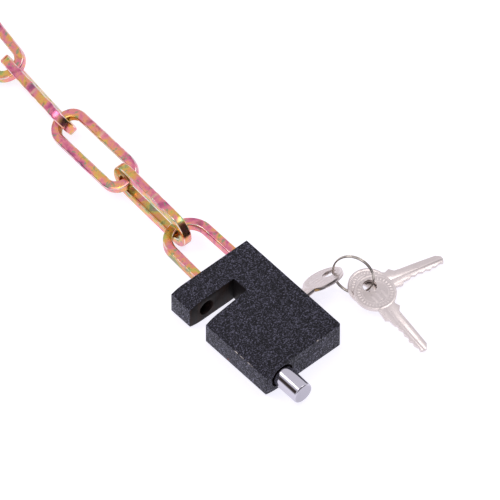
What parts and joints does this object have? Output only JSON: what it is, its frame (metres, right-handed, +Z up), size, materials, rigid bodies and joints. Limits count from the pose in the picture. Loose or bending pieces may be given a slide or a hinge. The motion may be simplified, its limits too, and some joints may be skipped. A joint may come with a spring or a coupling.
{
  "type": "chain lock",
  "caption": "Block padlock with a captive square-wire chain, a sliding chromed bolt that closes across an open slot, and flat keys on a split ring.",
  "frame": {"origin": "centre of the lock body's flat underside", "axes": "+X out of the keyhole side, +Y out of the end that holds the chain, +Z up out of the broad face"},
  "size_m": [0.3068, 0.4933, 0.0256],
  "materials": {
    "black_coat": "black wrinkle powder coat",
    "yellow_zinc": "bright iridescent yellow zinc plating",
    "chrome": "polished chrome plating",
    "nickel": "satin nickel plating",
    "brass": "turned brass",
    "steel": "plain bright steel"
  },
  "bodies": {
    "lock": {"lock_body": "black_coat", "bolt_stop_pin": "steel", "bolt_spring": "steel", "cylinder_housing": "brass", "cylinder_pin": "steel", "pin_cover": "brass", "captive_link": "yellow_zinc", "link_pin_1": "steel", "link_pin_2": "steel", "driver_pin_1": "steel", "driver_pin_2": "steel", "driver_pin_3": "steel", "driver_pin_4": "steel", "driver_pin_5": "steel", "pin_spring_1": "steel", "pin_spring_2": "steel", "pin_spring_3": "steel", "pin_spring_4": "steel", "pin_spring_5": "steel"},
    "bolt": {"bolt": "chrome"},
    "plug": {"plug": "brass", "plug_clip": "steel", "tailpiece": "steel", "key_pin_1": "brass", "key_pin_2": "brass", "key_pin_3": "brass", "key_pin_4": "brass", "key_pin_5": "brass"},
    "key_in_lock": {"key_in_lock": "nickel"},
    "split_ring": {"split_ring": "nickel"},
    "second_key": {"second_key": "nickel"},
    "third_key": {"third_key": "nickel"},
    "link_01": {"chain_link_01": "yellow_zinc"},
    "link_02": {"chain_link_02": "yellow_zinc"},
    "link_03": {"chain_link_03": "yellow_zinc"},
    "link_04": {"chain_link_04": "yellow_zinc"},
    "link_05": {"chain_link_05": "yellow_zinc"},
    "link_06": {"chain_link_06": "yellow_zinc"},
    "link_07": {"chain_link_07": "yellow_zinc"},
    "link_08": {"chain_link_08": "yellow_zinc"},
    "link_09": {"chain_link_09": "yellow_zinc"},
    "link_10": {"chain_link_10": "yellow_zinc"}
  },
  "joints": [
    {"name": "bolt_slide", "type": "slide", "parent": "lock", "child": "bolt", "axis": [0, 1, 0], "range_m": [0, 0.0185], "stiffness_N_per_m": 220, "springref_m": -0.009, "deforming": ["bolt_spring"]},
    {"name": "plug_turn", "type": "hinge", "parent": "lock", "child": "plug", "pos_m": [0.012, -0.0047, 0.009], "axis": [1, 0, 0], "range_deg": [0, 36.5]},
    {"name": "key_withdraw", "type": "slide", "parent": "plug", "child": "key_in_lock", "axis": [1, 0, 0], "range_m": [0, 0.033]},
    {"name": "ring_in_key", "type": "hinge", "parent": "key_in_lock", "child": "split_ring", "pos_m": [0.0525, -0.0047, 0.009], "axis": [1, 0, 0], "range_deg": [-36.5, 0]},
    {"name": "second_key_swing", "type": "hinge", "parent": "split_ring", "child": "second_key", "pos_m": [0.061, -0.0226, 0.0041], "axis": [0.0214, -0.1382, 0.9902], "range_deg": [-30, 30]},
    {"name": "third_key_swing", "type": "hinge", "parent": "split_ring", "child": "third_key", "pos_m": [0.0638, -0.025, 0.0066], "axis": [-0.0063, -0.0922, 0.9957], "range_deg": [-30, 30]},
    {"name": "link_01_swing", "type": "hinge", "parent": "lock", "child": "link_01", "pos_m": [0.00765, 0.07394, 0.01], "axis": [0, 0, 1], "range_deg": [-30, 30]},
    {"name": "link_02_swing", "type": "hinge", "parent": "link_01", "child": "link_02", "pos_m": [0.00954, 0.12779, 0.01], "axis": [0, 0, -1], "range_deg": [-17, 30]},
    {"name": "link_03_swing", "type": "hinge", "parent": "link_02", "child": "link_03", "pos_m": [0.00863, 0.17417, 0.01], "axis": [0, 0, 1], "range_deg": [-23, 11]},
    {"name": "link_04_swing", "type": "hinge", "parent": "link_03", "child": "link_04", "pos_m": [0.01639, 0.2318, 0.01], "axis": [0, 0, -1], "range_deg": [-23, 17]},
    {"name": "link_05_swing", "type": "hinge", "parent": "link_04", "child": "link_05", "pos_m": [0.01918, 0.27826, 0.01], "axis": [0, 0, 1], "range_deg": [-30, 17]},
    {"name": "link_06_swing", "type": "hinge", "parent": "link_05", "child": "link_06", "pos_m": [0.04387, 0.32672, 0.01], "axis": [0, 0, -1], "range_deg": [-23, 23]},
    {"name": "link_07_swing", "type": "hinge", "parent": "link_06", "child": "link_07", "pos_m": [0.07671, 0.36678, 0.01], "axis": [0, 0, 1], "range_deg": [-29, 17]},
    {"name": "link_08_swing", "type": "hinge", "parent": "link_07", "child": "link_08", "pos_m": [0.12062, 0.39422, 0.01], "axis": [0, 0, -1], "range_deg": [-17, 29]},
    {"name": "link_09_swing", "type": "hinge", "parent": "link_08", "child": "link_09", "pos_m": [0.17058, 0.40612, 0.01], "axis": [0, 0, 1], "range_deg": [-29, 17]},
    {"name": "link_10_swing", "type": "hinge", "parent": "link_09", "child": "link_10", "pos_m": [0.2257, 0.40626, 0.01], "axis": [0, 0, -1], "range_deg": [-17, 30]}
  ],
  "couplings": [
    {"joint": "ring_in_key", "follows": "plug_turn", "ratio": -1}
  ]
}
